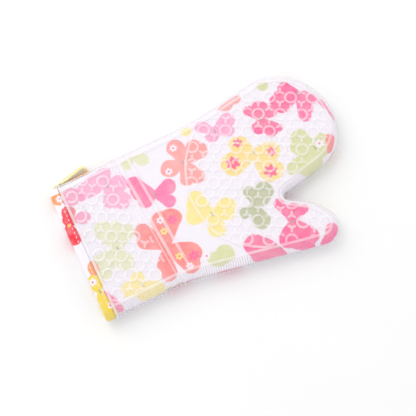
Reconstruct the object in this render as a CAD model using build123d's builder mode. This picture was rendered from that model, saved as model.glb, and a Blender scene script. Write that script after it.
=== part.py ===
from build123d import *
from math import cos, radians, sin
import os

# Oven mitt: a one-piece moulded silicone shell over a sewn and padded cotton liner.
# It lies flat, palm down. +X runs from the cuff to the fingertips, +Y is the index-finger
# side, the thumb is on -Y, and +Z is up. The origin is the middle of the footprint, on the
# surface that the mitt lies on. Millimetres throughout.

# Overall
THICKNESS = 22.0  # shell, outside to outside
EDGE_RADIUS = 10.8  # almost a full round down both side walls

# Layers, from the outside in
SHELL_WALL = 1.6
BOND_GAP = 0.3  # clearance between shell and liner, and the depth of the adhesive
PRINT_WALL = 0.6
WADDING_WALL = 3.0
LINING_WALL = 0.5

PRINT_INSET = SHELL_WALL + BOND_GAP
WADDING_INSET = PRINT_INSET + PRINT_WALL
LINING_INSET = WADDING_INSET + WADDING_WALL
CAVITY_INSET = LINING_INSET + LINING_WALL

# Cuff: the shell is trimmed on a slight slant, and the liner's hem stands out beyond it
MOUTH_X = -131.3  # where the trim line crosses y = 0
MOUTH_SLANT = 3.8  # degrees, the thumb side being the longer
HEM_REACH = 8.6
HEM_WALL = 0.6
LINER_REACH = HEM_REACH - HEM_WALL
HEM_INSET = PRINT_INSET - HEM_WALL
HEM_INNER_DEPTH = 14.0
BOND_START = 6.0
BOND_WIDTH = 12.0
TRIM_CLEARANCE = 0.3

# Sewing
STITCH_LENGTH = 3.0
STITCH_PITCH = 4.6
STITCH_WIDTH = 0.6
STITCH_HEIGHT = 0.4
STITCH_COUNT = 25
STITCH_ROW_MIDDLE = 12.0  # y of the middle of each row
STITCH_FROM_SHELL = 2.8
SEAM_THREAD = 0.9
SEAM_INSET = 4.0

# Hanging loop: one strip of print cloth, folded in two and sewn in at the cuff
LOOP_X = -126.0  # the line that the loop swings about
LOOP_Y = 84.5
LOOP_Z = 1.6
STRIP_WIDTH = 8.0
STRIP_WALL = 0.9
LOOP_LENGTH = 30.0  # from the swing line to the middle of the rounded end
LOOP_BULGE = 2.8  # how far the rounded end stands off to the side
EYE_RADIUS = 3.1
EYE_START = 6.0  # the two ends of the strip lie together up to here
EYE_START_RADIUS = 0.4
TAB_START_X = -131.6
TAB_END_X = -127.2
TAB_TOP_Y = 83.0
TAB_DEPTH = 4.5

# Plan outline of the shell: corner positions and the radius that rounds each one.
# It starts at the index-finger side of the cuff and runs round the fingers, into the crotch
# of the thumb, round the thumb and back to the cuff, which is left long and trimmed later.
OUTLINE = [
    ((-170.0, 83.5), 0),
    ((15.0, 78.8), 260.0),
    ((103.8, 89.4), 44.0),
    ((133.6, 69.8), 54.0),
    ((147.5, 28.8), 57.0),
    ((133.3, -8.6), 42.0),
    ((109.8, -21.7), 60.0),
    ((54.2, -30.1), 2.6),
    ((81.0, -49.0), 48.0),
    ((93.9, -73.5), 19.0),
    ((79.0, -93.6), 19.0),
    ((-62.0, -59.4), 120.0),
    ((-170.0, -56.4), 0),
]


def mouth_plane(reach):
    """The slanted trim plane at the cuff, moved out past the shell's edge by reach."""
    slant = radians(MOUTH_SLANT)
    shell_edge = Plane(origin=(MOUTH_X, 0, 0), z_dir=(-cos(slant), sin(slant), 0))
    return shell_edge.offset(reach)


def hand_plan(inset):
    """The plan outline as a face, shrunk by inset."""
    with BuildSketch() as plan:
        with BuildLine():
            FilletPolyline(
                [corner for corner, radius in OUTLINE],
                radius=[radius for corner, radius in OUTLINE],
                close=True,
            )
        make_face()
        if inset:
            offset(amount=-inset, kind=Kind.ARC)
    return plan.sketch


def hand_form(inset):
    """The mitt as a slab with rounded sides, shrunk by inset all over, its cuff left long."""
    with BuildPart() as form:
        with BuildSketch(Plane.XY.offset(inset)):
            add(hand_plan(inset))
        extrude(amount=THICKNESS - 2 * inset)
        rims = form.faces().filter_by(Axis.Z).edges()
        fillet(rims, radius=EDGE_RADIUS - inset)
    return form.part


def sleeve(outside, inside, start, end):
    """The wall between two nested forms, for a stretch of the cuff."""
    with BuildPart() as wall:
        add(outside)
        add(inside, mode=Mode.SUBTRACT)
        split(bisect_by=mouth_plane(end), keep=Keep.BOTTOM)
        split(bisect_by=mouth_plane(start), keep=Keep.TOP)
    return wall.part


def teardrop(start, start_radius, end, end_radius):
    """Two circles and the straight sides that join them, as a face."""
    with BuildSketch() as drop:
        with Locations(start):
            Circle(start_radius)
        with Locations(end):
            Circle(end_radius)
        make_hull()
    return drop.sketch


def write(piece, name):
    """Label a finished piece and write its STEP file."""
    piece.label = name
    export_step(piece, f"parts/{name}.step")


os.makedirs("parts", exist_ok=True)

shell_outside = hand_form(0)
shell_inside = hand_form(SHELL_WALL)
hem_outside = hand_form(HEM_INSET)
print_outside = hand_form(PRINT_INSET)
wadding_outside = hand_form(WADDING_INSET)
lining_outside = hand_form(LINING_INSET)
cavity = hand_form(CAVITY_INSET)
hem_inside = hand_form(CAVITY_INSET + HEM_WALL)

# Silicone shell: one hollow moulding, open only at the cuff.
with BuildPart() as silicone_shell:
    add(shell_outside)
    add(shell_inside, mode=Mode.SUBTRACT)
    split(bisect_by=mouth_plane(0), keep=Keep.BOTTOM)
write(silicone_shell.part, "silicone_shell")

# Bond: the ring of silicone adhesive that holds the liner in the shell, inside the cuff.
with BuildPart() as shell_bond:
    add(sleeve(shell_inside, print_outside, -BOND_START - BOND_WIDTH, -BOND_START))
write(shell_bond.part, "shell_bond")

# Side seam: the line of thread that sews the liner's front and back together.
with BuildPart() as side_seam_thread:
    with BuildSketch(Plane.XY.offset((THICKNESS - SEAM_THREAD) / 2)):
        add(hand_plan(SEAM_INSET))
        add(hand_plan(SEAM_INSET + SEAM_THREAD), mode=Mode.SUBTRACT)
    extrude(amount=SEAM_THREAD)
    split(bisect_by=mouth_plane(LINER_REACH), keep=Keep.BOTTOM)
write(side_seam_thread.part, "side_seam_thread")

# Liner: print cloth, wadding and plain lining, each cut twice and sewn front to back.
LAYERS = {
    "print": (print_outside, wadding_outside),
    "wadding": (wadding_outside, lining_outside),
    "lining": (lining_outside, cavity),
}
HALVES = {"front": Keep.TOP, "back": Keep.BOTTOM}
for layer, (outside, inside) in LAYERS.items():
    for half, side in HALVES.items():
        with BuildPart() as panel:
            add(outside)
            add(inside, mode=Mode.SUBTRACT)
            split(bisect_by=mouth_plane(LINER_REACH), keep=Keep.BOTTOM)
            split(bisect_by=Plane.XY.offset(THICKNESS / 2), keep=side)
            if layer == "wadding":
                add(side_seam_thread.part, mode=Mode.SUBTRACT)
        write(panel.part, f"{layer}_{half}")

# Cuff hem: a band of print cloth, folded over the raw ends of all three layers.
with BuildPart() as cuff_hem:
    add(sleeve(hem_outside, print_outside, TRIM_CLEARANCE, HEM_REACH))
    add(sleeve(print_outside, cavity, LINER_REACH, HEM_REACH))
    add(sleeve(cavity, hem_inside, -HEM_INNER_DEPTH, HEM_REACH))
write(cuff_hem.part, "cuff_hem")

# Hem stitching: a row of thread on each face of the hem, just clear of the shell.
with BuildPart() as hem_stitching:
    slant = radians(MOUTH_SLANT)
    row_x = MOUTH_X - STITCH_FROM_SHELL
    hem_faces = (THICKNESS - HEM_INSET + STITCH_HEIGHT / 2, HEM_INSET - STITCH_HEIGHT / 2)
    for height in hem_faces:
        with Locations(Plane(origin=(row_x, 0, height), x_dir=(cos(slant), -sin(slant), 0))):
            with Locations((0, STITCH_ROW_MIDDLE)):
                with GridLocations(0, STITCH_PITCH, 1, STITCH_COUNT):
                    Box(STITCH_WIDTH, STITCH_LENGTH, STITCH_HEIGHT)
write(hem_stitching.part, "hem_stitching")

# Hanging loop: the folded strip stands on edge, with its eye open from above and below.
loop_root = (LOOP_X, LOOP_Y)
loop_end = (LOOP_X + LOOP_LENGTH, LOOP_Y + LOOP_BULGE)
eye_root = (LOOP_X + EYE_START, LOOP_Y + LOOP_BULGE * EYE_START / LOOP_LENGTH)
with BuildPart() as hanging_loop:
    with BuildSketch(Plane.XY.offset(LOOP_Z)):
        add(teardrop(loop_root, STRIP_WALL, loop_end, EYE_RADIUS + STRIP_WALL))
        add(teardrop(eye_root, EYE_START_RADIUS, loop_end, EYE_RADIUS), mode=Mode.SUBTRACT)
    extrude(amount=STRIP_WIDTH)
write(hanging_loop.part, "hanging_loop")

# Loop tab: the sewn ends of the strip, barred down on the side of the hem.
with BuildPart() as loop_tab:
    with BuildSketch(Plane.XY.offset(LOOP_Z + STRIP_WALL)):
        with BuildLine():
            Polyline(
                (TAB_START_X, TAB_TOP_Y),
                (TAB_END_X, TAB_TOP_Y),
                (TAB_END_X, TAB_TOP_Y - TAB_DEPTH),
                (TAB_START_X, TAB_TOP_Y - TAB_DEPTH),
                close=True,
            )
        make_face()
    extrude(amount=STRIP_WIDTH - 2 * STRIP_WALL)
    add(hem_outside, mode=Mode.SUBTRACT)
write(loop_tab.part, "loop_tab")
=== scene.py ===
import math

import bpy
import numpy as np
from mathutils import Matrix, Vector
from mathutils.geometry import delaunay_2d_cdt


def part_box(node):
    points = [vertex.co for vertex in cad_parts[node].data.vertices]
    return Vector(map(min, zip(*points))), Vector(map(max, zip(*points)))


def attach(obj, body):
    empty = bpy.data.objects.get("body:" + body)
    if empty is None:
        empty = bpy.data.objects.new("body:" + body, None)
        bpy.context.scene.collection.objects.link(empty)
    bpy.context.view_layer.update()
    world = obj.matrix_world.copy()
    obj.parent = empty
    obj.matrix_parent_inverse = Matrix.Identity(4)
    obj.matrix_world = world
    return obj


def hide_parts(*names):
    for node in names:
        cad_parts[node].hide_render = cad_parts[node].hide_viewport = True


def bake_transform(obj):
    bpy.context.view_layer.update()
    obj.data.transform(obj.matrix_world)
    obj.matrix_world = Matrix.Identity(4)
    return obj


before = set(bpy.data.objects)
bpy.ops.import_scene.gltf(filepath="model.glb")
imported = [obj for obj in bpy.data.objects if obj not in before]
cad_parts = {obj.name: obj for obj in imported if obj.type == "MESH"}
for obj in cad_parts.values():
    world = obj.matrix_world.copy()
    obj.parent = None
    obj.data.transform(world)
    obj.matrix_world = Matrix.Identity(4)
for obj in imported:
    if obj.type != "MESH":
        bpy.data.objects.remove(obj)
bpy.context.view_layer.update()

# --------------------------------------
# Lining. Two pieces of plain white cotton, cut to the shape of the hand and sewn edge to
# edge, are what the hand touches. They are nested inside all the other layers, so the
# shape that every layer shares is worked out here.

MM = 0.001
EDGE_RADIUS = 10.8  # the rounded side wall of the outermost layer
shell_low, shell_high = (np.array(corner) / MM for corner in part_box("silicone_shell"))
THICKNESS = shell_high[2] - shell_low[2]
MIDDLE = THICKNESS / 2
MOUTH_X = -131.3  # where the shell's trim line crosses y = 0
MOUTH_SLANT = math.tan(math.radians(3.8))
SLANT_FADES_AT = -85.0
HEM_REACH = 8.6  # how far the hem stands out past the shell
LINER_REACH = 8.0

# Corners of the outline and the radius that rounds each one, from the index-finger side of
# the cuff, round the fingers, into the crotch, round the thumb and back to the cuff.
OUTLINE = [
    ((-170.0, 83.5), 0.0),
    ((15.0, 78.8), 260.0),
    ((103.8, 89.4), 44.0),
    ((133.6, 69.8), 54.0),
    ((147.5, 28.8), 57.0),
    ((133.3, -8.6), 42.0),
    ((109.8, -21.7), 60.0),
    ((54.2, -30.1), 2.6),
    ((81.0, -49.0), 48.0),
    ((93.9, -73.5), 19.0),
    ((79.0, -93.6), 19.0),
    ((-62.0, -59.4), 120.0),
    ((-170.0, -56.4), 0.0),
]


def unit(vector):
    """The vector at length one."""
    return vector / np.linalg.norm(vector)


def inset_of(node):
    """How far a layer's outer face lies inside the shell's."""
    return shell_high[0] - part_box(node)[1][0] / MM


def outline(inset, step, reach=0.0):
    """Points round the hand, about step apart where measured along a line a little more than inset inside
    the edge, and their outward directions. The cuff ends are cut reach past the shell's edge, square
    across."""
    corners = [np.array(corner) for corner, radius in OUTLINE]
    radii = [radius for corner, radius in OUTLINE]
    points, normals = [], []
    for i in range(1, len(corners) - 1):
        before, after = unit(corners[i] - corners[i - 1]), unit(corners[i + 1] - corners[i])
        left_before = np.array([-before[1], before[0]])
        left_after = np.array([-after[1], after[0]])
        turn = math.acos(np.clip(before @ after, -1, 1))
        side = 1.0 if before[0] * after[1] - before[1] * after[0] < 0 else -1.0
        start = corners[i] - before * radii[i] * math.tan(turn / 2)
        centre = start - left_before * radii[i] * side
        for share in np.linspace(0, 1, max(4, int(math.degrees(turn)))):
            normal = unit(left_before * math.sin((1 - share) * turn) + left_after * math.sin(share * turn))
            points.append(centre + normal * radii[i] * side)
            normals.append(normal)
    cut = MOUTH_X - reach
    for end, neighbour, place in ((0, 0, 0), (-1, -1, len(points) + 1)):
        run = points[neighbour] - corners[end]
        whole = corners[end] + run * (cut - corners[end][0]) / run[0]
        points.insert(place, whole)
        normals.insert(place, normals[neighbour])
    points, normals = np.array(points), np.array(normals)
    moved = points - normals * (inset + 5.0)
    along = np.concatenate([[0], np.cumsum(np.linalg.norm(np.diff(moved, axis=0), axis=1))])
    wanted = np.linspace(0, along[-1], int(along[-1] / step) + 1)
    points = np.column_stack([np.interp(wanted, along, points[:, k]) for k in (0, 1)])
    normals = np.column_stack([np.interp(wanted, along, normals[:, k]) for k in (0, 1)])
    normals /= np.linalg.norm(normals, axis=1)[:, None]
    return points, normals, wanted


def slanted(points):
    """Moves points near the cuff so that its square end becomes the slanted one."""
    share = np.clip((SLANT_FADES_AT - points[:, 0]) / (SLANT_FADES_AT - MOUTH_X), 0, None)
    share = np.minimum(share, 1.0)
    share = share * share * (3 - 2 * share)
    moved = points.copy()
    moved[:, 0] += share * MOUTH_SLANT * points[:, 1]
    return moved


def settled(points):
    """The soft mitt as it lies: fullest over the palm, lower on the thumb, faintly uneven."""
    x, y = points[:, 0], points[:, 1]
    palm = np.exp(-(((x - 10) / 95) ** 2) - ((y - 15) / 62) ** 2)
    thumb = np.exp(-(((x - 62) / 38) ** 2) - ((y + 72) / 22) ** 2)
    uneven = np.sin(x / 17 + 1.3 * np.sin(y / 29)) * np.sin(y / 21 + 0.8 * np.sin(x / 37))
    lift = 1.3 * palm - 1.5 * thumb + 0.35 * uneven - 0.3
    moved = points.copy()
    moved[:, 2] *= 1 + lift / THICKNESS
    return moved


def away_from(path, points):
    """Each point's distance from the nearest corner of a path."""
    nearest = np.full(len(points), 1e9)
    for corner in path:
        nearest = np.minimum(nearest, np.hypot(*(points - corner).T))
    return nearest


def inside(loop, points):
    """Which points lie inside a closed loop."""
    x, y = points.T
    odd = np.zeros(len(points), bool)
    for a, b in zip(loop, np.roll(loop, -1, axis=0)):
        crosses = (a[1] > y) != (b[1] > y)
        rise = b[1] - a[1] if b[1] != a[1] else 1e-12
        odd ^= crosses & (x < (b[0] - a[0]) * (y - a[1]) / rise + a[0])
    return odd


def filled(loop, step):
    """Triangles that fill a closed loop, with inner points about step apart."""
    low, high = loop.min(axis=0), loop.max(axis=0)
    rows = np.arange(low[1] + step / 2, high[1], step * 0.866)
    grid = [
        (x + (step / 2) * (i % 2), y)
        for i, y in enumerate(rows)
        for x in np.arange(low[0] + step / 2, high[0], step)
    ]
    grid = np.array(grid)
    grid = grid[inside(loop, grid)]
    grid = grid[away_from(loop, grid) > step * 0.6]
    corners = np.vstack([loop, grid])
    made, _, faces, sources, _, _ = delaunay_2d_cdt(
        [tuple(c) for c in corners], [], [list(range(len(loop)))], 1, 1e-6
    )
    order = [source[0] for source in sources]
    return grid, [[order[i] for i in face] for face in faces]


def hand_skin(inset, step, reach, sides, rows, fill_step=3.0, ribs=(0.0, 4)):
    """One layer's outer face: the rounded rim in rows and the flat faces filled in.
    sides lists 1 for the front half and -1 for the back half, and ribs gives the height of
    the side wall's ribs and the columns in each. It also gives each point's place on the
    cloth, with the rim unrolled flat."""
    plan, normals, along = outline(inset, step, reach)
    radius = EDGE_RADIUS - inset
    wall = MIDDLE - inset - radius
    rib_height, rib_columns = ribs
    rib = rib_height * np.cos(2 * math.pi * np.arange(len(plan)) / rib_columns)
    levels = [(angle, -1) for angle in np.linspace(90, 0, rows)] if -1 in sides else []
    levels += [(angle, 1) for angle in np.linspace(0, 90, rows)] if 1 in sides else []
    points, cloth, faces = [], [], []
    for angle, side in levels:
        turn = math.radians(angle)
        fade = 1 - (angle / 90) ** 6
        bulge = radius + rib * fade
        ring = plan + normals * (bulge * math.cos(turn) - EDGE_RADIUS)[:, None]
        height = MIDDLE + side * (wall + bulge * math.sin(turn))
        points.append(np.column_stack([ring, height]))
        cloth.append(plan + normals * (radius * (math.pi / 2 - turn) - EDGE_RADIUS))
    count = len(plan)
    for row in range(len(levels) - 1):
        for i in range(row * count, row * count + count - 1):
            faces.append([i, i + count, i + count + 1, i + 1])
    for side in sides:
        row = 0 if side == -1 else len(levels) - 1
        edge = points[row]
        start, end = edge[-1, :2], edge[0, :2]
        gaps = max(2, int(np.linalg.norm(end - start) / step))
        mouth = [start + (end - start) * i / gaps for i in range(1, gaps)]
        grid, triangles = filled(np.vstack([edge[:, :2], mouth]), fill_step)
        inner = np.vstack([mouth, grid])
        first = sum(len(p) for p in points)
        number = [row * count + i for i in range(count)]
        number += [first + i for i in range(len(inner))]
        points.append(np.column_stack([inner, np.full(len(inner), edge[0, 2])]))
        cloth.append(inner)
        flat = np.vstack([edge[:, :2], inner])
        for corners in triangles:
            a, b, c = flat[corners]
            upward = (b[0] - a[0]) * (c[1] - a[1]) > (b[1] - a[1]) * (c[0] - a[0])
            wanted = corners if upward == (side == 1) else corners[::-1]
            faces.append([number[i] for i in wanted])
    return slanted(np.vstack(points)), np.vstack(cloth), faces


def new_piece(name, points, faces, materials, cloth=None):
    """A smooth-shaded mesh object from points in millimetres."""
    mesh = bpy.data.meshes.new(name)
    mesh.from_pydata((np.asarray(points) * MM).tolist(), [], faces)
    mesh.shade_smooth()
    for material in materials:
        mesh.materials.append(material)
    if cloth is not None:
        corner_points = np.zeros(len(mesh.loops), np.int32)
        mesh.loops.foreach_get("vertex_index", corner_points)
        layer = mesh.uv_layers.new(name="Cloth")
        layer.data.foreach_set("uv", (cloth[corner_points] * MM).ravel())
    piece = bpy.data.objects.new(name, mesh)
    bpy.context.scene.collection.objects.link(piece)
    return piece


def thickened(piece, thickness):
    """Gives a cloth surface its thickness, inwards from the face that shows."""
    solid = piece.modifiers.new("Thickness", "SOLIDIFY")
    solid.thickness = thickness * MM
    solid.offset = -1
    return piece


def colour(code):
    """A web colour as the linear colour that shaders take."""
    shares = [int(code[i : i + 2], 16) / 255 for i in (1, 3, 5)]
    return [s / 12.92 if s < 0.04045 else ((s + 0.055) / 1.055) ** 2.4 for s in shares] + [1.0]


class Shader:
    """A small hand for wiring one node tree."""

    def __init__(self, tree):
        self.tree = tree

    def node(self, kind, links=(), **settings):
        """Adds a node. links maps its inputs to values or to other nodes' outputs."""
        made = self.tree.nodes.new("ShaderNode" + kind)
        for key, value in settings.items():
            setattr(made, key, value)
        for key, value in dict(links).items():
            if isinstance(value, bpy.types.NodeSocket):
                self.tree.links.new(value, made.inputs[key])
            else:
                made.inputs[key].default_value = value
        return made

    def math(self, operation, *values):
        """Adds a Math node and gives its output."""
        return self.node("Math", enumerate(values), operation=operation).outputs[0]

    def mix(self, share, first, second):
        """Adds a colour Mix node and gives its output."""
        made = self.node("Mix", {0: share, 6: first, 7: second}, data_type="RGBA")
        return made.outputs[2]

    def ramp(self, value, low, high, bottom=0.0, top=1.0):
        """Maps a value smoothly from low..high to bottom..top."""
        links = {0: value, 1: low, 2: high, 3: bottom, 4: top}
        return self.node("MapRange", links, interpolation_type="SMOOTHSTEP").outputs[0]

    def noise(self, spot, scale, detail):
        """Adds a Noise Texture node and gives its output."""
        links = {"Vector": spot, "Scale": scale, "Detail": detail}
        return self.node("TexNoise", links).outputs["Fac"]

    def feed(self, value, shader, socket):
        """Leads an output into one of a shader's sockets."""
        self.tree.links.new(value, shader.inputs[socket])


def new_group(name, inputs, outputs):
    """An empty node group with the named inputs and outputs, its input and output nodes."""
    tree = bpy.data.node_groups.new(name, "ShaderNodeTree")
    for label, kind, value in inputs:
        socket = tree.interface.new_socket(label, in_out="INPUT", socket_type="NodeSocket" + kind)
        if value is not None:
            socket.default_value = value
    for label, kind in outputs:
        tree.interface.new_socket(label, in_out="OUTPUT", socket_type="NodeSocket" + kind)
    return Shader(tree), tree.nodes.new("NodeGroupInput"), tree.nodes.new("NodeGroupOutput")


def new_material(name):
    """A node material, its shader hand and its Principled node."""
    material = bpy.data.materials.new(name)
    material.use_nodes = True
    return material, Shader(material.node_tree), material.node_tree.nodes["Principled BSDF"]


def set_values(node, **values):
    """Sets plain values on a shader's own sockets."""
    for key, value in values.items():
        node.inputs[key.replace("_", " ")].default_value = value


# Plain weave: warp and weft threads that cross over and under, with slubs here and there. Its Shade output
# is painted shade, darker where the threads dip under and lighter on their crossings.
weave, given, result = new_group(
    "Plain weave",
    [("Cloth", "Vector", None), ("Threads per metre", "Float", 2200.0), ("Slub", "Float", 0.25)],
    [("Height", "Float"), ("Shade", "Float")],
)
place = weave.node("SeparateXYZ", {0: given.outputs["Cloth"]})
crossings = []
for axis in (0, 1):
    turns = weave.math("MULTIPLY", place.outputs[axis], given.outputs["Threads per metre"])
    crossings.append(weave.math("SINE", weave.math("MULTIPLY", turns, math.pi)))
over = weave.math("MULTIPLY", crossings[0], crossings[1])
slub = weave.noise(given.outputs["Cloth"], 420.0, 3.0)
rough = weave.math("MULTIPLY", weave.math("SUBTRACT", slub, 0.5), given.outputs["Slub"])
height = weave.math("ADD", weave.math("MULTIPLY_ADD", over, 0.5, 0.5), rough)
weave.feed(height, result, "Height")
# Painted shade: the colour follows the weave's height, darker in its hollows.
weave.feed(weave.math("MULTIPLY_ADD", height, 0.10, 0.93), result, "Shade")


def woven(shader, threads, slub):
    """Places the weave on a piece's own cloth layer."""
    spot = shader.node("UVMap", uv_map="Cloth").outputs[0]
    made = shader.node("Group", node_tree=weave.tree)
    shader.feed(spot, made, "Cloth")
    made.inputs["Threads per metre"].default_value = threads
    made.inputs["Slub"].default_value = slub
    return made, spot


def bumped(shader, principled, height, strength, distance):
    """Feeds a height into the shader's normal."""
    links = {"Height": height, "Strength": strength, "Distance": distance}
    bump = shader.node("Bump", links)
    shader.feed(bump.outputs[0], principled, "Normal")


lining_cotton, shader, surface = new_material("Lining cotton")
threads, spot = woven(shader, 1900.0, 0.35)
# Painted shade: the weave's Shade darkens the white cotton towards grey in the hollows of the weave.
tone = shader.mix(threads.outputs["Shade"], colour("#cfc8c2"), colour("#f6f1ee"))
shader.feed(tone, surface, "Base Color")
set_values(surface, Roughness=0.9, Sheen_Weight=0.25, Sheen_Roughness=0.5)
bumped(shader, surface, threads.outputs["Height"], 0.5, 0.0003)

LINING_STEP = 3.0
LINING_THICKNESS = 0.4
for half, side in (("front", 1), ("back", -1)):
    node = "lining_" + half
    points, cloth, faces = hand_skin(inset_of(node), LINING_STEP, LINER_REACH, [side], 7)
    creases = 0.25 * np.sin(points[:, 0] / 5.5 + np.sin(points[:, 1] / 9)) * side
    points[:, 2] -= creases * (np.abs(points[:, 2] - MIDDLE) > 3)
    piece = new_piece(node + "_cloth", settled(points), faces, [lining_cotton], cloth)
    thickened(piece, LINING_THICKNESS)
    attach(piece, "mitt")
    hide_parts(node)


# --------------------------------------
# Wadding. A lofted pad of white fibre lies on each side of the hand, between the lining
# and the print, cut to the same shape and caught in the same side seam.

wadding_fibre, shader, surface = new_material("Wadding fibre")
spot = shader.node("TexCoord").outputs["Object"]
stretch = shader.node("Mapping", {"Vector": spot, "Scale": (1.0, 3.0, 2.0)}).outputs[0]
strands = shader.node("TexNoise", {"Vector": stretch, "Scale": 900.0, "Detail": 6.0, "Distortion": 1.4})
lumps = shader.noise(spot, 90.0, 2.0)
fluff = shader.math("MULTIPLY_ADD", lumps, 0.6, strands.outputs["Fac"])
tone = shader.mix(strands.outputs["Fac"], colour("#dedad2"), colour("#fbf9f4"))
shader.feed(tone, surface, "Base Color")
set_values(surface, Roughness=0.95, Sheen_Weight=0.4)
bumped(shader, surface, fluff, 0.7, 0.0008)

WADDING_STEP = 3.0
PAD_CLEARANCE = 0.1
PAD_REACH = LINER_REACH - 0.6
wadding_inset = inset_of("wadding_front")
pad_thickness = inset_of("lining_front") - wadding_inset - 2 * PAD_CLEARANCE
for half, side in (("front", 1), ("back", -1)):
    pad_inset = wadding_inset + PAD_CLEARANCE
    points, cloth, faces = hand_skin(pad_inset, WADDING_STEP, PAD_REACH, [side], 7)
    pad = new_piece("wadding_" + half + "_pad", settled(points), faces, [wadding_fibre], cloth)
    thickened(pad, pad_thickness)
    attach(pad, "mitt")
    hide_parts("wadding_" + half)


# --------------------------------------
# Print cloth. White cotton printed with butterflies, leaves and small flowers in warm
# inks. It covers the wadding on both faces and shows through the silicone.

INKS = {
    "magenta": "#ff2a93", "pink": "#ff58a3", "pale pink": "#ffa6d0", "salmon": "#ff9994",
    "coral": "#ff7069", "yellow": "#ffed7f", "amber": "#ffe47c", "green": "#dce09a",
    "olive": "#bec490", "red": "#f53c50", "orange": "#fa9c5c", "white": "#fbf7fc",
    "stem": "#a3a27c", "gold": "#f6d84c", "pale green": "#e9ebbd", "rose": "#ff86bd",
}

# Each butterfly or leaf spray: its ink, its body, and the tips of its wings with their
# round-end radius. The wings narrow from their tips to the body.
SPRAYS = [
    ("salmon", (-11, 44), [(-10, 60, 8), (-25, 44, 8), (8, 47, 8), (6, 54, 6), (-6, 25, 7), (-16, 27, 6)]),
    ("salmon", (46, 76), [(54, 76, 6), (64, 79, 6)]),
    ("magenta", (76, 47), [(70, 60, 5), (81, 58, 7), (88, 50, 6), (69, 40, 6), (79, 33, 7), (86, 31, 4)]),
    ("magenta", (121, 54), [(112, 65, 6), (105, 58, 7), (101, 49, 7), (97, 57, 5)]),
    ("pink", (121, 53), [(123, 45, 8), (130, 42, 5), (115, 30, 6), (120, 35, 6)]),
    ("pink", (138, 24), [(136, 35, 3), (140, 14, 2)]),
    ("amber", (53, 20), [(44, 33, 9), (30, 19, 11), (67, 14, 9), (58, -3, 11)]),
    ("green", (106, -4), [(98, 11, 9), (92, 4, 7), (116, 2, 5), (110, -8, 7), (77, -12, 6), (88, -18, 7),
        (98, -21, 8)]),
    ("coral", (121, -12), [(123, -3, 5), (118, -11, 4)]),
    ("olive", (27, -26), [(29, -12, 5), (42, -18, 8), (36, -24, 7), (15, -29, 5), (25, -42, 8)]),
    ("magenta", (50, -57), [(48, -36, 5), (66, -51, 4), (57, -47, 6), (39, -70, 9), (56, -76, 9),
        (47, -75, 10), (50, -88, 7)]),
    ("magenta", (26, -72), [(8, -61, 10), (8, -71, 8), (15, -79, 8), (25, -84, 5)]),
    ("magenta", (76, -80), [(70, -91, 7), (79, -83, 7)]),
    ("yellow", (-12, -15), [(-18, 6, 7), (-27, -9, 8), (-22, 0, 7), (4, -15, 8), (0, -20, 7),
        (-15, -29, 8)]),
    ("pink", (-49, 28), [(-35, 29, 7), (-41, 16, 6), (-61, 48, 6), (-60, 26, 6), (-62, 37, 7)]),
    ("coral", (-65, -23), [(-47, 0, 9), (-57, 3, 8), (-76, 1, 7), (-79, -8, 7), (-48, -38, 10),
        (-52, -48, 8), (-74, -46, 7), (-73, -37, 7)]),
    ("green", (-29, -62), [(-20, -54, 8), (-31, -54, 6)]),
    ("olive", (-75, -62), [(-80, -61, 3), (-69, -63, 3)]),
    ("pale pink", (-84, 58), [(-93, 67, 8), (-103, 63, 8), (-82, 70, 7), (-74, 54, 8), (-79, 38, 8),
        (-88, 42, 7)]),
    ("rose", (-104, 60), [(-119, 64, 8), (-111, 61, 6)]),
    ("rose", (-126, 44), [(-118, 40, 6)]),
    ("pale green", (-104, -2), [(-107, 19, 9), (-96, 17, 6), (-88, 8, 6), (-122, -7, 8), (-104, -17, 8),
        (-124, -17, 6)]),
    ("yellow", (-100, -44), [(-101, -36, 6), (-113, -42, 7), (-91, -54, 8), (-102, -52, 7)]),
    ("pink", (-133, -34), [(-131, -46, 4), (-129, -54, 4)]),
    ("pale green", (-50, 71), [(-58, 68, 5), (-43, 65, 6)]),
    ("yellow", (4, 72), [(7, 71, 5)]),
    ("pale pink", (31, 57), [(22, 68, 6), (26, 54, 6), (47, 62, 7), (42, 52, 6)]),
    ("green", (90, 78), [(95, 77, 5)]),
    ("orange", (-131, 62), [(-133, 75, 7), (-130, 69, 6)]),
    ("red", (-133, 39), [(-128, 51, 6), (-130, 44, 6), (-139, 30, 7), (-134, 25, 6)]),
    ("orange", (-134, -16), [(-131, -8, 6)]),
    ("gold", (-137, -31), [(-137, -21, 7), (-138, -41, 7), (-137, -53, 7), (-141, -60, 6)]),
]

# Small flowers: petals, eye, centre and radius.
FLOWERS = [
    ("white", "magenta", -12, 61, 4), ("white", "magenta", -27, 42, 4),
    ("magenta", "amber", 44, 36, 5), ("magenta", "amber", 30, 20, 7), ("magenta", "amber", 68, 13, 5),
    ("magenta", "amber", 57, -4, 7), ("white", "magenta", 112, -2, 5), ("white", "magenta", -57, 3, 4),
    ("magenta", "coral", -47, -2, 5), ("yellow", "coral", -59, -8, 4), ("yellow", "coral", -58, -36, 4),
    ("magenta", "coral", -46, -42, 5), ("white", "magenta", -54, -49, 4), ("white", "magenta", -36, -48, 4),
    ("white", "magenta", -129, 67, 4), ("white", "magenta", -139, -20, 4), ("amber", "orange", -133, 39, 2),
    ("white", "red", -135, -47, 3),
]


WING_FULLNESS = 1.1
WAIST = 1.6  # half the width of a wing where it meets the body
BACK_MIDDLE, BACK_SCALE, BACK_SHIFT = -6.0, 0.96, 3


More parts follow.
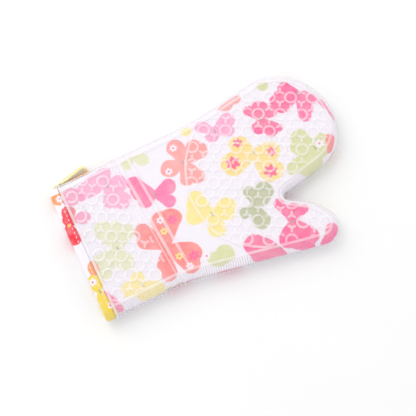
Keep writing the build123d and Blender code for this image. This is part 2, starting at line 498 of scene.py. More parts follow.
def printed(piece, spots, mirror=False):
    """Writes the print onto a mesh: at each point the ink of the nearest spray and the
    distance to its edge, and the same for the nearest flower's petals and eye."""
    x, y = spots[:, 0].copy(), spots[:, 1].copy()
    if mirror:
        x, y = 2 * BACK_MIDDLE - x, y * BACK_SCALE + BACK_SHIFT
    wander_x = x + 0.35 * np.sin(y / 3.1 + np.sin(x / 5.3))
    wander_y = y + 0.35 * np.sin(x / 3.4 + np.sin(y / 4.7))
    edge = np.full(len(x), 1e3)
    body_edge = np.full(len(x), 1e3)
    ink = np.ones((len(x), 4))
    for name, (body_x, body_y), tips in SPRAYS:
        tint = colour(INKS[name])
        for tip_x, tip_y, radius in tips:
            run_x, run_y = tip_x - body_x, tip_y - body_y
            along = ((wander_x - body_x) * run_x + (wander_y - body_y) * run_y) / (run_x**2 + run_y**2)
            along = np.clip(along, 0, 1)
            gap = np.hypot(wander_x - body_x - along * run_x, wander_y - body_y - along * run_y)
            gap -= WAIST + (WING_FULLNESS * radius - WAIST) * along**0.6
            gap = np.minimum(gap, np.hypot(wander_x - tip_x, wander_y - tip_y) - WING_FULLNESS * radius)
            nearer = gap < edge
            edge[nearer] = gap[nearer]
            ink[nearer] = tint
        if len(tips) > 3:
            gap = np.hypot((x - body_x) * 1.6, (y - body_y) * 0.6) - 1.6
            body_edge = np.minimum(body_edge, gap)
    petal_edge = np.full(len(x), 1e3)
    eye_edge = np.full(len(x), 1e3)
    petal, eye = np.ones((len(x), 4)), np.ones((len(x), 4))
    for petal_ink, eye_ink, middle_x, middle_y, radius in FLOWERS:
        reach = np.hypot(x - middle_x, y - middle_y)
        lobes = np.cos(6 * np.arctan2(y - middle_y, x - middle_x) + middle_x)
        nearer = reach < eye_edge + 1.1
        petal_edge[nearer] = (reach - radius * (0.84 + 0.2 * lobes))[nearer]
        eye_edge[nearer] = (reach - 0.9 - 0.05 * radius)[nearer]
        petal[nearer] = colour(INKS[petal_ink])
        eye[nearer] = colour(INKS[eye_ink])
    for name, values in (("Ink edge", edge), ("Body edge", body_edge), ("Petal edge", petal_edge),
                         ("Eye edge", eye_edge)):
        layer = piece.data.attributes.new(name, "FLOAT", "POINT")
        layer.data.foreach_set("value", np.clip(values, -12, 12))
    for name, values in (("Ink", ink), ("Petal", petal), ("Eye", eye)):
        layer = piece.data.attributes.new(name, "FLOAT_COLOR", "POINT")
        layer.data.foreach_set("color", values.ravel())


print_cotton, shader, surface = new_material("Print cotton")
threads, spot = woven(shader, 2300.0, 0.25)
read = {}
for name in ("Ink edge", "Body edge", "Petal edge", "Eye edge"):
    read[name] = shader.node("Attribute", attribute_name=name).outputs["Fac"]
for name in ("Ink", "Petal", "Eye"):
    read[name] = shader.node("Attribute", attribute_name=name).outputs["Color"]
wash = shader.noise(spot, 130.0, 4.0)
bleed = shader.noise(spot, 700.0, 3.0)
shift = shader.math("MULTIPLY_ADD", bleed, 1.4, -0.7)
ink_edge = shader.math("ADD", read["Ink edge"], shift)
inked = shader.ramp(ink_edge, 0.5, -0.7)
rim = shader.ramp(ink_edge, -1.6, -0.3, 0.0, 0.5)
light_ink = shader.mix(shader.ramp(wash, 0.35, 0.7, 0.0, 0.16), read["Ink"], colour("#fff6f2"))
pooled = shader.mix(rim, light_ink, read["Ink"])
tone = shader.mix(inked, colour("#f9f4fb"), pooled)
tone = shader.mix(shader.ramp(read["Body edge"], 0.5, -0.6, 0.0, 0.8), tone, colour(INKS["stem"]))
petal_edge = shader.math("ADD", read["Petal edge"], shader.math("MULTIPLY", shift, 0.4))
tone = shader.mix(shader.ramp(petal_edge, 0.3, -0.4, 0.0, 0.92), tone, read["Petal"])
tone = shader.mix(shader.ramp(read["Eye edge"], 0.3, -0.4), tone, read["Eye"])
# Painted shade: the weave's Shade darkens the printed colour in the hollows of the weave.
woven_shade = shader.node("HueSaturation", {"Color": tone, "Value": threads.outputs["Shade"]})
shader.feed(woven_shade.outputs[0], surface, "Base Color")
set_values(surface, Roughness=0.85, Sheen_Weight=0.15, Sheen_Roughness=0.45)
bumped(shader, surface, threads.outputs["Height"], 0.35, 0.0002)

PRINT_STEP = 1.1
PRINT_THICKNESS = 0.45
for half, side in (("front", 1), ("back", -1)):
    node = "print_" + half
    points, cloth, faces = hand_skin(inset_of(node), PRINT_STEP, LINER_REACH, [side], 12, PRINT_STEP)
    piece = new_piece(node + "_cloth", settled(points), faces, [print_cotton], cloth)
    printed(piece, slanted(cloth), mirror=side < 0)
    thickened(piece, PRINT_THICKNESS)
    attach(piece, "mitt")
    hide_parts(node)


# --------------------------------------
# Side seam. White polyester thread in a running stitch joins the front and back of the
# liner all the way round the hand, halfway through its thickness.


def thread(path, radius, sides=6):
    """A rounded thread along a path, as points and faces."""
    path = np.asarray(path, float)
    ways = np.gradient(path, axis=0)
    points, faces = [path[0]], []
    shares = np.linspace(0, 1, len(path))
    for centre, way, share in zip(path, ways, shares):
        way = unit(way)
        across = unit(np.cross(way, [0.3, 0.2, 1.0] if abs(way[2]) < 0.8 else [1.0, 0.2, 0.1]))
        over = np.cross(across, way)
        girth = radius * min(1.0, 0.45 + 4 * min(share, 1 - share))
        for k in range(sides):
            turn = 2 * math.pi * k / sides
            points.append(centre + girth * (across * math.cos(turn) + over * math.sin(turn)))
    points.append(path[-1])
    last = len(points) - 1
    for row in range(len(path) - 1):
        for k in range(sides):
            a, b = 1 + row * sides + k, 1 + row * sides + (k + 1) % sides
            faces.append([a, a + sides, b + sides, b])
    for k in range(sides):
        faces.append([0, 1 + k, 1 + (k + 1) % sides])
        faces.append([last, last - sides + (k + 1) % sides, last - sides + k])
    return np.array(points), faces


def gathered(parts):
    """Several meshes as one."""
    points, faces, first = [], [], 0
    for part_points, part_faces in parts:
        points.append(part_points)
        faces += [[i + first for i in face] for face in part_faces]
        first += len(part_points)
    return np.vstack(points), faces


white_thread, shader, surface = new_material("White thread")
spot = shader.node("TexCoord").outputs["Object"]
twist = {"Vector": spot, "Scale": 900.0, "Distortion": 2.0}
ply = shader.node("TexWave", twist, bands_direction="DIAGONAL")
tone = shader.mix(ply.outputs["Fac"], colour("#e9e4ee"), colour("#ffffff"))
shader.feed(tone, surface, "Base Color")
set_values(surface, Roughness=0.55, Sheen_Weight=0.2)
bumped(shader, surface, ply.outputs["Fac"], 0.4, 0.0002)

SEAM_PITCH = 4.2
SEAM_STITCH = 3.2
SEAM_THREAD_RADIUS = 0.35
seam_plan, _, seam_along = outline(inset_of("side_seam_thread") + 0.45, 0.8, LINER_REACH - 1)
SEAM_RISE = np.array([-0.3, 0.1, 0.2, 0.1, -0.3])
stitches = []
for start in np.arange(1.0, seam_along[-1] - SEAM_STITCH, SEAM_PITCH):
    places = start + np.linspace(0, SEAM_STITCH, 5)
    path = np.column_stack([np.interp(places, seam_along, seam_plan[:, k]) for k in (0, 1)])
    stitches.append(thread(np.column_stack([path, MIDDLE + SEAM_RISE]), SEAM_THREAD_RADIUS))
points, faces = gathered(stitches)
piece = new_piece("side_seam_stitches", settled(slanted(points)), faces, [white_thread])
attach(piece, "mitt")
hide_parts("side_seam_thread")


# --------------------------------------
# Cuff hem. A strip of the same print cloth is folded over the raw ends of the liner and
# stands out past the silicone. It is soft, and puckers a little at its stitches.


def cuff_ring(inset, reach, gap=1.5):
    """Points round the cuff at one distance past the shell's edge, anticlockwise when seen
    from the fingers, and each point's place across the cloth."""
    plan, normals, _ = outline(0.0, 2.0, reach)
    radius = EDGE_RADIUS - inset
    points, across = [], []
    turns = np.radians(np.linspace(90, -90, 17))
    ends = [(plan[-1], normals[-1]), (plan[0], normals[0])]
    flats = [end - normal * EDGE_RADIUS for end, normal in ends]
    width = abs(flats[1][1] - flats[0][1])
    count = int(width / gap)
    drop = MIDDLE - EDGE_RADIUS
    for side, here, there in ((1, 1, 0), (-1, 0, 1)):
        start, end = flats[here], flats[there]
        normal = ends[there][1]
        for share in np.arange(count) / count:
            level = MIDDLE + side * (drop + radius)
            points.append([*(start + (end - start) * share), level])
            across.append(start[1] + (end[1] - start[1]) * share)
        edge = end[1]
        for turn in turns[:-1]:
            out = end + normal * radius * math.cos(turn)
            points.append([*out, MIDDLE + side * (np.sign(turn) * drop + radius * math.sin(turn))])
            across.append(edge + (math.pi / 2 - turn) * radius * np.sign(normal[1]))
    return np.array(points), np.array(across)


def banded(rows, count):
    """The faces between closed rings of count points each."""
    faces = []
    for row in range(rows - 1):
        for k in range(count):
            a, b = row * count + k, row * count + (k + 1) % count
            faces.append([a, b, b + count, a + count])
    return faces


def sleeve(profile, shape=None):
    """A skin round the cuff from a list of (inset, reach) rings."""
    rings, cloth = [], []
    travel = 0.0
    for row, (inset, reach) in enumerate(profile):
        ring, across = cuff_ring(inset, reach)
        if row:
            travel += math.hypot(inset - profile[row - 1][0], reach - profile[row - 1][1])
        if shape is not None:
            ring = shape(ring, across, inset, reach)
        rings.append(ring)
        cloth.append(np.column_stack([np.full(len(ring), MOUTH_X - profile[0][1] - travel), across]))
    return slanted(np.vstack(rings)), np.vstack(cloth), banded(len(rings), len(rings[0]))


STITCH_PITCH = 4.6
STITCH_FROM_SHELL = 2.8
STITCH_ROW_MIDDLE = 12.0
HEM_INSET = 1.3
HEM_LINING_INSET = 6.6
HEM_DEPTH = 14.0
HEM_THICKNESS = 0.5


def puckered(ring, across, inset, reach):
    """Draws the hem in along its stitches and leaves it fuller beside them."""
    if inset > 3:
        return ring
    nearness = math.exp(-(((reach - STITCH_FROM_SHELL) / 1.1) ** 2))
    fullness = math.exp(-(((reach - 6.3) / 1.9) ** 2))
    waves = 0.5 + 0.5 * np.cos(2 * math.pi * (across - STITCH_ROW_MIDDLE) / STITCH_PITCH)
    slow = np.sin(across / 6.1 + 0.7 * np.sin(across / 3.7))
    sink = nearness * (0.15 + 0.3 * waves) - fullness * (0.1 + 0.12 * slow)
    moved = ring.copy()
    moved[:, 2] -= sink * np.sign(ring[:, 2] - MIDDLE)
    return moved


fold_middle = (HEM_INSET + HEM_LINING_INSET) / 2
fold_half = (HEM_LINING_INSET - HEM_INSET) / 2
FOLD_BULGE = 2.2
FOLD_START = HEM_REACH - FOLD_BULGE
profile = [(HEM_INSET, reach) for reach in np.linspace(0.35, FOLD_START, 12)]
profile += [
    (fold_middle - fold_half * math.cos(turn), FOLD_START + FOLD_BULGE * math.sin(turn))
    for turn in np.radians(np.linspace(18, 162, 9))
]
profile += [(HEM_LINING_INSET, reach) for reach in np.linspace(FOLD_START, -HEM_DEPTH, 12)]
points, cloth, faces = sleeve(profile, puckered)
hem = new_piece("cuff_hem_cloth", settled(points), faces, [print_cotton], cloth)
printed(hem, slanted(cloth))
thickened(hem, HEM_THICKNESS)
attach(hem, "mitt")
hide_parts("cuff_hem")


# --------------------------------------
# Hem stitching. One row of thick white thread on each face holds the folded hem closed,
# just outside the edge of the silicone.

STITCH_COUNT = 25
STITCH_LENGTH = 3.0
HEM_THREAD_RADIUS = 0.36
slant = math.atan(MOUTH_SLANT)
stitches = []
for side in (1, -1):
    for i in range(STITCH_COUNT):
        middle = STITCH_ROW_MIDDLE + (i - (STITCH_COUNT - 1) / 2) * STITCH_PITCH
        places = middle + np.linspace(-0.5, 0.5, 7) * STITCH_LENGTH
        x = MOUTH_X - STITCH_FROM_SHELL + places * math.sin(slant)
        rise = 0.15 - 0.55 * np.linspace(-1, 1, 7) ** 4
        z = MIDDLE + side * (MIDDLE - HEM_INSET + rise)
        stitches.append(thread(np.column_stack([x, places * math.cos(slant), z]), HEM_THREAD_RADIUS, 8))
points, faces = gathered(stitches)
piece = new_piece("hem_stitches", settled(points), faces, [white_thread])
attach(piece, "mitt")
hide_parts("hem_stitching")


# --------------------------------------
# Hanging loop. A folded cotton strip, yellow with an orange end, stands on edge beside the
# cuff and leans in on it. It bends back round an open eye from its sewn root.

loop_low, loop_high = (np.array(corner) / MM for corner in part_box("hanging_loop"))
STRIP_THICKNESS = 0.9
EYE_CENTRE_RADIUS = 3.55
LEAN = math.radians(35)
strip_middle = (loop_low[2] + loop_high[2]) / 2
strip_half = (loop_high[2] - loop_low[2]) / 2
eye = np.array([loop_high[0] - EYE_CENTRE_RADIUS - 0.45, loop_high[1] - EYE_CENTRE_RADIUS - 0.45])
root = eye - [30.0, 2.8]


def smooth_line(corners, step, rounds=4):
    """A smooth line along a few corners, with even points."""
    line = np.asarray(corners, float)
    for _ in range(rounds):
        near, far = line[:-1] * 0.75 + line[1:] * 0.25, line[:-1] * 0.25 + line[1:] * 0.75
        line = np.vstack([line[:1], np.column_stack([near, far]).reshape(-1, line.shape[1]), line[-1:]])
    along = np.concatenate([[0], np.cumsum(np.linalg.norm(np.diff(line, axis=0), axis=1))])
    wanted = np.linspace(0, along[-1], max(2, int(along[-1] / step) + 1))
    return np.column_stack([np.interp(wanted, along, line[:, k]) for k in range(line.shape[1])])


def swept(path, ups, section, closed=False):
    """A solid swept along a path. section lists (across, up) places, anticlockwise."""
    path, ups = np.asarray(path, float), np.asarray(ups, float)
    if closed:
        ways = np.roll(path, -1, axis=0) - np.roll(path, 1, axis=0)
    else:
        ways = np.gradient(path, axis=0)
    ways /= np.linalg.norm(ways, axis=1)[:, None]
    across = np.cross(ways, ups)
    across /= np.linalg.norm(across, axis=1)[:, None]
    points = np.vstack([path + across * u + ups * v for u, v in section])
    rows, count = len(section), len(path)
    faces = []
    for row in range(rows):
        for k in range(count if closed else count - 1):
            a, b = row * count + k, row * count + (k + 1) % count
            c = (row + 1) % rows * count + (k + 1) % count
            d = (row + 1) % rows * count + k
            faces.append([a, b, c, d])
    if not closed:
        faces.append([row * count for row in range(rows)])
        faces.append([row * count + count - 1 for row in reversed(range(rows))])
    return points, faces


loop_cotton, shader, surface = new_material("Loop cotton")
spot = shader.node("UVMap", uv_map="Cloth").outputs[0]
place = shader.node("SeparateXYZ", {0: spot})
slope = shader.math("ADD", place.outputs[0], shader.math("MULTIPLY", place.outputs[1], 1.3))
twill = shader.math("SINE", shader.math("MULTIPLY", slope, 7500.0))
threads, _ = woven(shader, 2600.0, 0.2)
cord = shader.math("MULTIPLY_ADD", twill, 0.4, threads.outputs["Height"])
patch = shader.noise(spot, 60.0, 3.0)
end_share = shader.ramp(shader.math("MULTIPLY_ADD", patch, 0.006, place.outputs[0]), 0.016, 0.024)
back_share = shader.ramp(shader.math("MULTIPLY_ADD", patch, 0.006, place.outputs[0]), 0.038, 0.043)
orange_share = shader.math("SUBTRACT", end_share, back_share)
tone = shader.mix(orange_share, colour("#fff4a4"), colour("#ffb054"))
# Painted highlight: the crowns of the threads are mixed towards pale yellow, by the weave's height.
painted_crown_highlight = shader.math("MULTIPLY_ADD", threads.outputs["Height"], 0.16, 0.0)
tone = shader.mix(painted_crown_highlight, tone, colour("#fff7c8"))
shader.feed(tone, surface, "Base Color")
set_values(surface, Roughness=0.82, Sheen_Weight=0.2, Sheen_Roughness=0.4)
bumped(shader, surface, cord, 0.5, 0.0003)

turns = np.radians(np.linspace(-95, 92, 24))
arc = eye + EYE_CENTRE_RADIUS * np.column_stack([np.cos(turns), np.sin(turns)])
going = smooth_line([root + [-3.2, -1.75], root + [-1.5, -0.75], root + [2, -0.55], root + [10, -0.75],
                     root + [20, -1.0], arc[0]], 0.8)
coming = smooth_line([arc[-1], root + [22, 4.6], root + [12, 2.5], root + [2, 0.65],
                      root + [-1.5, 0.2], root + [-3.2, -0.75]], 0.8)
line = np.vstack([going[:-1], arc, coming[1:]])
freed = np.clip((line[:, 0] - root[0] - 1) / 9, 0, 1)
freed = freed * freed * (3 - 2 * freed)
lean = LEAN * freed
line = np.column_stack([line[:, 0], line[:, 1] + 0.9 * freed, np.full(len(line), strip_middle)])
ups = np.column_stack([np.zeros(len(line)), -np.sin(lean), np.cos(lean)])
half = STRIP_THICKNESS / 2
one_turn = [(half, -strip_half + 0.5), (half, -1.5), (half, 1.5), (half, strip_half - 0.5),
            (half * 0.6, strip_half - 0.12), (0, strip_half), (-half * 0.6, strip_half - 0.12)]
section = one_turn + [(-u, -v) for u, v in one_turn]
points, faces = swept(line, ups, section)
travelled = np.concatenate([[0], np.cumsum(np.linalg.norm(np.diff(line, axis=0), axis=1))])
girth = np.concatenate([[0], np.cumsum(np.linalg.norm(np.diff(np.array(section), axis=0), axis=1))])
cloth = np.column_stack([np.tile(travelled, len(section)), np.repeat(girth, len(line))])
strip = new_piece("hanging_loop_strip", points, faces, [loop_cotton], cloth)
stitches = []
for level in (-strip_half + 1.3, strip_half - 1.3):
    for face in (-1, 1):
        for start in range(6, len(line) - 9, 4):
            run = line[start : start + 4]
            way = np.gradient(run, axis=0)
            way /= np.linalg.norm(way, axis=1)[:, None]
            up = ups[start : start + 4]
            off = np.cross(way, up) * face
            depth = half + np.array([-0.12, 0.06, 0.06, -0.12])
            stitches.append(thread(run + off * depth[:, None] + up * level, 0.16))
points, faces = gathered(stitches)
edge_stitches = new_piece("hanging_loop_stitches", points, faces, [white_thread])
for piece, slot in ((strip, "loop_cotton"), (edge_stitches, "white_thread")):
    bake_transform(piece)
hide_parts("hanging_loop")


# --------------------------------------
# Loop tab. The two ends of the strip lie one on the other on the side of the hem, where a
# close zigzag bar of thread sews them down.

tab_low, tab_high = (np.array(corner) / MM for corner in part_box("loop_tab"))
rim_plan = outline(0.0, 2.0, HEM_REACH / 2)[0]
hem_radius = EDGE_RADIUS - HEM_INSET
across_count, up_count = 13, 11
outer, inner = [], []
for i in range(across_count):
    for j in range(up_count):
        along, height = i / (across_count - 1), j / (up_count - 1)
        x = tab_low[0] + (tab_high[0] - tab_low[0]) * along
        z = tab_low[2] + (tab_high[2] - tab_low[2]) * height
        crown = (1 - (2 * along - 1) ** 6) * (1 - (2 * height - 1) ** 6)
        bar = math.exp(-(((along - 0.3) / 0.16) ** 2))
        top = tab_high[1] - 0.9 + 0.9 * crown * along**0.5 - 0.35 * bar
        turn = math.asin(min(1.0, (MIDDLE - z) / hem_radius))
        rim = rim_plan[0, 1] - EDGE_RADIUS + hem_radius * math.cos(turn)
        outer.append([x, top, z])
        inner.append([x, min(max(rim, tab_low[1]) + 0.05, top - 0.4), z])
faces = []
for i in range(across_count - 1):
    for j in range(up_count - 1):
        a, b = i * up_count + j, (i + 1) * up_count + j
        faces.append([a, a + 1, b + 1, b])
        far = across_count * up_count
        faces.append([far + a, far + b, far + b + 1, far + a + 1])
far = across_count * up_count
rim_walk = [i * up_count for i in range(across_count)]
rim_walk += [(across_count - 1) * up_count + j for j in range(1, up_count)]
rim_walk += [i * up_count + up_count - 1 for i in reversed(range(across_count - 1))]
rim_walk += [j for j in reversed(range(1, up_count - 1))]
for a, b in zip(rim_walk, rim_walk[1:] + rim_walk[:1]):
    faces.append([a, b, far + b, far + a])
points = np.array(outer + inner)
cloth = np.column_stack([points[:, 0] + 133.0, points[:, 2] + points[:, 1]])
tab = new_piece("loop_tab_ends", points, faces, [loop_cotton], cloth)
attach(tab, "mitt")
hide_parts("loop_tab")
bars = 15
zigzag = []
for i in range(bars):
    z = tab_low[2] + 0.7 + (tab_high[2] - tab_low[2] - 1.4) * i / (bars - 1)
    x = tab_low[0] + 1.3 + (0.6 if i % 2 else -0.6)
    zigzag.append([x, tab_high[1] - 0.62, z])
points, faces = thread(smooth_line(zigzag, 0.25, 2), 0.17)
piece = new_piece("loop_tab_bar", points, faces, [white_thread])
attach(piece, "mitt")


# --------------------------------------
# Bond. A thin ring of clear silicone adhesive holds the liner in the shell, a little way
# inside the cuff.

clear_bond, shader, surface = new_material("Silicone adhesive")
spot = shader.node("TexCoord").outputs["Object"]
smear = shader.noise(spot, 160.0, 3.0)
shader.feed(shader.ramp(smear, 0.3, 0.7, 0.02, 0.06), surface, "Alpha")
shader.feed(shader.mix(smear, colour("#f4f0f6"), colour("#ffffff")), surface, "Base Color")
shader.feed(shader.ramp(smear, 0.2, 0.8, 0.3, 0.5), surface, "Roughness")
bumped(shader, surface, smear, 0.2, 0.0004)

BOND_START, BOND_WIDTH, BOND_THICKNESS = 6.0, 12.0, 0.2
bond_profile = [(1.65, reach) for reach in np.linspace(-BOND_START, -BOND_START - BOND_WIDTH, 5)]
points, _, faces = sleeve(bond_profile)
bond = new_piece("shell_bond_ring", settled(points), [face[::-1] for face in faces], [clear_bond])
thickened(bond, BOND_THICKNESS)
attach(bond, "mitt")
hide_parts("shell_bond")


# --------------------------------------
# Silicone shell. One moulded glove of frosted clear silicone with raised rings, arms and
# ridges for grip, a fine ribbed side wall and a bead round its cuff edge.

STIPPLE_PITCH = 0.0021  # metres, as shaders see places
HAZE_START, HAZE_END = -0.085, -0.062  # metres along the hand
CUFF_HAZE = 0.05  # share of cover added at the cuff


def silicone(name, low_alpha, high_alpha, tint, dots):
    """Frosted silicone, with its share of cover between two levels and a haze at the cuff."""
    material, shader, surface = new_material(name)
    spot = shader.node("TexCoord").outputs["Object"]
    cloud = shader.noise(spot, 45.0, 3.0)
    grain = shader.noise(spot, 1600.0, 2.0)
    place = shader.node("SeparateXYZ", {0: spot})
    haze = shader.ramp(place.outputs[0], HAZE_START, HAZE_END, CUFF_HAZE, 0.0)
    cover = shader.math("ADD", shader.ramp(cloud, 0.3, 0.7, low_alpha, high_alpha), haze)
    shader.feed(cover, surface, "Alpha")
    shader.feed(shader.mix(cloud, colour(tint), colour("#ffffff")), surface, "Base Color")
    shader.feed(shader.ramp(grain, 0.3, 0.7, 0.36, 0.5), surface, "Roughness")
    lumps = []
    for axis in (0, 1):
        turns = shader.math("MULTIPLY", place.outputs[axis], 2 * math.pi / STIPPLE_PITCH)
        lumps.append(shader.math("SINE", turns))
    stipple = shader.ramp(shader.math("MULTIPLY", *lumps), 0.25, 0.8, 0.0, dots)
    bumped(shader, surface, shader.math("MULTIPLY_ADD", grain, 0.25, stipple), 0.5, 0.0003)
    set_values(surface, IOR=1.41, Specular_IOR_Level=0.35)
    return material


frosted_wall = silicone("Frosted silicone", 0.08, 0.13, "#f6f0fa", 0.8)
frosted_raised = silicone("Frosted silicone raised", 0.40, 0.52, "#fbf4fb", 0.0)
frosted_rib = silicone("Frosted silicone rib", 0.19, 0.25, "#f6effa", 0.0)

SHELL_WALL = 1.6
RIB_PITCH = 2.3
RIB_COLUMNS = 4
COLUMN_STEP = RIB_PITCH / RIB_COLUMNS
FLAT_STEP = 4.0
RIB_HEIGHT = 0.05
SIDE_ROWS = 7  # rows of faces round each half of the side wall
ribs = (RIB_HEIGHT, RIB_COLUMNS)
points, _, faces = hand_skin(0.0, COLUMN_STEP, 0.0, [-1, 1], SIDE_ROWS, FLAT_STEP, ribs)
shell = new_piece("silicone_shell_skin", points, faces, [frosted_wall, frosted_raised, frosted_rib])
columns = len(outline(0.0, COLUMN_STEP)[0]) - 1
for face in shell.data.polygons[: columns * (2 * SIDE_ROWS - 1)]:
    face.material_index = 2 * int(face.index % columns % RIB_COLUMNS in (0, RIB_COLUMNS - 1))
thickened(shell, SHELL_WALL)

BORDER = 8.8  # how far the border ridge runs inside the hand's edge
SECOND_BORDER = 5.4  # a second, finer ridge by the crotch and the fingertips
RING_PITCH_X, RING_PITCH_Y = 18.0, 20.85
RING_START = (3.9, -72.8)
RING_RADIUS, RING_WIDTH, RING_HEIGHT = 5.4, 2.4, 0.32
ARM_LENGTH, ARM_WIDTH = 4.6, 2.4
RIDGE_WIDTH, RIDGE_HEIGHT = 2.5, 0.4
# Wrist bands: where each runs, its width and its height.
BAND_LINES = [(-69.0, 1.0, 0.3), (-65.0, 2.9, 0.5), (-55.0, 2.9, 0.5)]
PALM_LINE = [(14, 68), (4, 57), (-2, 51), (-10, 41), (-19, 22), (-23, 5), (-22, -18), (-19, -32),
             (-13, -43), (-3, -55), (12, -66), (26, -72)]


def bead_section(width, height):
    """The cross-section of a moulded line that stands on the wall."""
    places = [(0.5, -0.5), (0.46, 0.3), (0.16, 1.0)]
    right = [(u * width, v * height if v > 0 else v) for u, v in places]
    return right + [(-u, v) for u, v in reversed(right)]


def flat_line(line, width, height, top, closed=False):
    """A raised line on the flat face."""
    path = np.column_stack([line, np.full(len(line), top)])
    return swept(path, np.tile([0.0, 0.0, 1.0], (len(path), 1)), bead_section(width, height), closed)


def runs(line, kept):
    """The unbroken stretches of a line that are kept."""
    stretches, current = [], []
    for point, keep in zip(line, kept):
        if keep:
            current.append(point)
        elif current:
            stretches.append(current)
            current = []
    if current:
        stretches.append(current)
    return [np.array(stretch) for stretch in stretches if len(stretch) > 2]


border_plan, border_normals, _ = outline(0.0, 2.0)
border = border_plan - border_normals * BORDER
palm_line = smooth_line(PALM_LINE, 1.2)
hand_area = np.vstack([palm_line, [(200, -150), (200, 150), (11, 150)]])
cuff_area = np.array([(MOUTH_X + 4, -150), (-71.5, -150), (-71.5, 150), (MOUTH_X + 4, 150)])
inner_border = border_plan - border_normals * (BORDER + 0.4)


def patterned(spots):
    """Whether spots lie where the rings and arms are moulded."""
    within = inside(inner_border, spots)
    return within & (inside(hand_area, spots) | inside(cuff_area, spots))


def arms(length, width, first):
    """The outline of a three-armed figure."""
    spots = []
    for k in range(3):
        turn = first + k * 2 * math.pi / 3
        way, off = np.array([math.cos(turn), math.sin(turn)]), np.array([-math.sin(turn), math.cos(turn)])
        crook = turn - math.pi / 3
        spots.append(width * 0.62 * np.array([math.cos(crook), math.sin(crook)]))
        for share, part in ((0.86, -0.5), (1.0, -0.22), (1.0, 0.22), (0.86, 0.5)):
            spots.append(way * length * share + off * width * part)
    return np.array(spots)


def figure(centre, turn, top):
    """A raised three-armed figure on the flat face."""
    layers = []
    for level, shrink in ((-0.5, 0.0), (0.1, 0.1), (0.3, 1.3)):
        ring = centre + arms(ARM_LENGTH - shrink * 0.5, ARM_WIDTH - shrink, turn)
        layers.append(np.column_stack([ring, np.full(len(ring), top + level)]))
    count = len(layers[0])
    faces = banded(len(layers), count)
    faces.append(list(reversed(range(count))))
    faces.append([(len(layers) - 1) * count + k for k in range(count)])
    return np.vstack(layers), faces


def on_both(parts):
    """The parts, and the same parts on the back of the shell."""
    behind = []
    for points, faces in parts:
        turned = points.copy()
        turned[:, 2] = 2 * MIDDLE - points[:, 2]
        behind.append((turned, [face[::-1] for face in faces]))
    return parts + behind


def fall(inset):
    """How far the rounded edge has fallen below the flat face at an inset."""
    return EDGE_RADIUS - math.sqrt(EDGE_RADIUS**2 - (EDGE_RADIUS - inset) ** 2)


top = shell_high[2]
border_lines = [flat_line(border[1:-1], RIDGE_WIDTH, RIDGE_HEIGHT, top - fall(BORDER))]
second = border_plan - border_normals * SECOND_BORDER
by_crotch = (second[:, 0] > 38) & (second[:, 0] < 74) & (second[:, 1] < -22) & (second[:, 1] > -64)
by_fingertip = (second[:, 0] > 102) & (second[:, 1] > 26)
for stretch in runs(second, by_crotch) + runs(second, by_fingertip):
    border_lines.append(flat_line(stretch, 1.6, RIDGE_HEIGHT, top - fall(SECOND_BORDER)))
palm_ridge = flat_line(palm_line[3:-2], RIDGE_WIDTH, 0.45, top)
pattern = []
circle = np.radians(np.linspace(0, 360, 19)[:-1])
for column in range(-8, 9):
    for row in range(-2, 11):
        centre = np.array([
            RING_START[0] + RING_PITCH_X * column,
            RING_START[1] + RING_PITCH_Y * (row + 0.5 * (column % 2)),
        ])
        ring = centre + RING_RADIUS * np.column_stack([np.cos(circle), np.sin(circle)])
        kept = patterned(ring)
        if kept.all():
            pattern.append(flat_line(ring, RING_WIDTH, RING_HEIGHT, top, closed=True))
        elif kept.any():
            first = int(np.argmin(kept))
            for stretch in runs(np.roll(ring, -first, axis=0), np.roll(kept, -first)):
                pattern.append(flat_line(stretch, RING_WIDTH, RING_HEIGHT, top))
        for side in (1, -1):
            spot = centre + [side * 12.0, 0.0]
            first = math.pi / 3 if side > 0 else 0.0
            if patterned(spot + 5.2 * np.column_stack([np.cos(circle), np.sin(circle)])).all():
                pattern.append(figure(spot, first, top))
bands = []
for line_x, width, height in BAND_LINES + [(MOUTH_X + 1.7, 2.4, 0.6)]:
    ring, _ = cuff_ring(0.0, MOUTH_X - line_x, 1.6)
    ways = np.roll(ring, -1, axis=0) - np.roll(ring, 1, axis=0)
    ups = np.cross(ways, [-1.0, 0.0, 0.0])
    ups /= np.linalg.norm(ups, axis=1)[:, None]
    bands.append(swept(ring, ups, bead_section(width, height), closed=True))

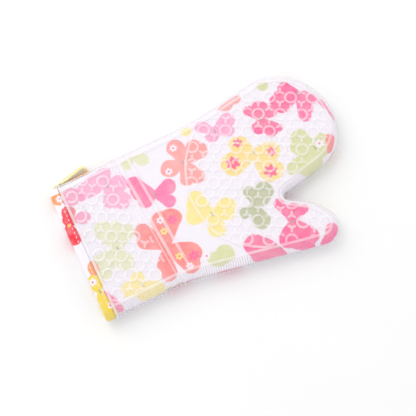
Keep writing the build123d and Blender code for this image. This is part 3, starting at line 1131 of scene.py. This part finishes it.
families = [on_both(border_lines), bands, on_both([palm_ridge]), on_both(pattern)]
beads = []
for number, family in enumerate(families):
    bead_points, bead_faces = gathered(family)
    bead = new_piece(f"bead_{number}", slanted(bead_points), bead_faces, [frosted_wall, frosted_raised])
    for face in bead.data.polygons:
        face.material_index = 1
    join = shell.modifiers.new(bead.name, "BOOLEAN")
    join.operation, join.solver, join.object = "UNION", "MANIFOLD", bead
    beads.append(bead)
solid = bpy.data.meshes.new_from_object(shell.evaluated_get(bpy.context.evaluated_depsgraph_get()))
for bead in beads:
    bpy.data.objects.remove(bead)
shell.modifiers.clear()
shell.data = solid
places = np.zeros(len(solid.vertices) * 3, np.float32)
solid.vertices.foreach_get("co", places)
places = settled(places.reshape(-1, 3).astype(float) / MM) * MM
solid.vertices.foreach_set("co", places.ravel())
solid.update()
solid.set_sharp_from_angle(angle=math.radians(42))
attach(shell, "mitt")
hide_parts("silicone_shell")


# --------------------------------------
# Floor, light and camera. A white table top under soft light from above and beyond the
# index-finger side, so that the shadow falls towards the thumb side.

floor_white, shader, surface = new_material("White table top")
spot = shader.node("TexCoord").outputs["Object"]
cloud = shader.noise(spot, 6.0, 2.0)
shader.feed(shader.mix(cloud, colour("#f7f7f7"), colour("#fbfbfb")), surface, "Base Color")
set_values(surface, Roughness=0.7)
FLOOR_HALF = 3000.0
corners = [(-FLOOR_HALF, -FLOOR_HALF, 0), (FLOOR_HALF, -FLOOR_HALF, 0), (FLOOR_HALF, FLOOR_HALF, 0),
           (-FLOOR_HALF, FLOOR_HALF, 0)]
floor = new_piece("table_top", corners, [[0, 1, 2, 3]], [floor_white])

world = bpy.data.worlds.new("Studio")
bpy.context.scene.world = world
world.use_nodes = True
world.node_tree.nodes["Background"].inputs["Color"].default_value = (1.0, 1.0, 1.0, 1.0)
world.node_tree.nodes["Background"].inputs["Strength"].default_value = 0.90
bpy.context.scene.view_settings.view_transform = "Standard"
bpy.context.scene.cycles.max_bounces = 10
bpy.context.scene.cycles.transparent_max_bounces = 48


def aimed(thing, place, target):
    """Puts a lamp or camera at a place, facing a target, both in millimetres."""
    thing.location = Vector(place) * MM
    thing.rotation_euler = (Vector(target) - Vector(place)).to_track_quat("-Z", "Y").to_euler()
    bpy.context.scene.collection.objects.link(thing)
    return thing


key = bpy.data.lights.new("Key", "AREA")
key.shape, key.size, key.energy = "DISK", 1.3, 5.5
aimed(bpy.data.objects.new("Key", key), (-330, 820, 1100), (0, 0, 0))

view = bpy.data.cameras.new("Camera")
view.lens = 95.2
view.sensor_width = 36.0
camera = aimed(bpy.data.objects.new("Camera", view), (-182.1, -313.9, 982.0), (-8.8, -1.3, 0.0))
bpy.context.scene.camera = camera
